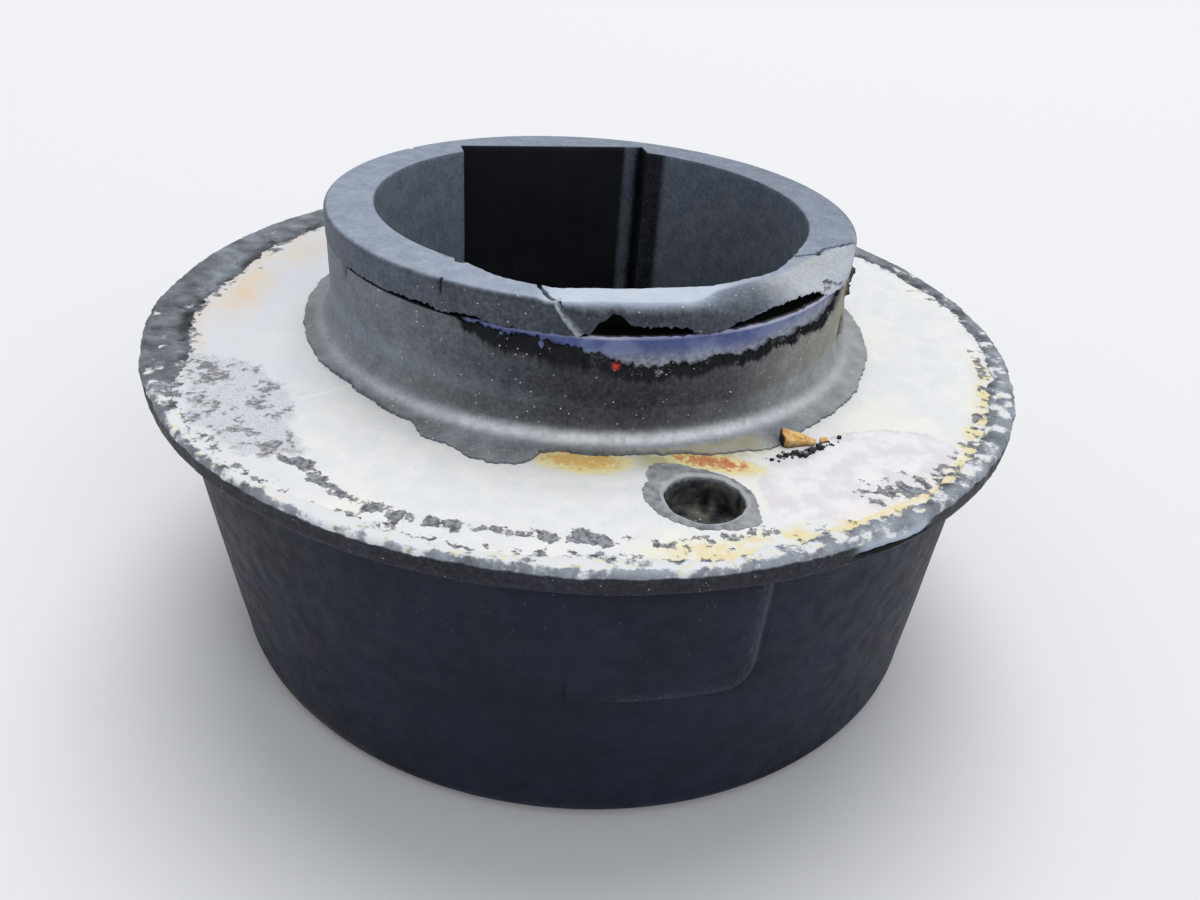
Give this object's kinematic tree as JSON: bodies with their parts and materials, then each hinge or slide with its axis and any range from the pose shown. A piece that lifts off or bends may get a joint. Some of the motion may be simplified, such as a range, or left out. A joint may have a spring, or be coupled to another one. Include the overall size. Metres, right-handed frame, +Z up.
{
  "type": "engine mount",
  "caption": "Bonded rubber engine mount: a steel ring flange with an upturned neck, moulded into a tapered rubber body with a flatted bore; worn, with a split lip.",
  "frame": {"origin": "centre of the base, where the mount stands on its end plate", "axes": "+Z up along the bore, towards the neck; -Y towards the side with the locating hole"},
  "size_m": [0.083, 0.083, 0.0422],
  "materials": {
    "collar_steel": "plated steel, dull and stained, with corrosion bloom; blued bright metal where rubber has peeled off",
    "rubber": "black natural rubber, matt and dusty, worn and cracked at the lip",
    "base_steel": "dull steel with light rust"
  },
  "bodies": {
    "root": {"flanged_collar": "collar_steel", "rubber_body": "rubber", "end_plate": "base_steel"}
  },
  "joints": []
}
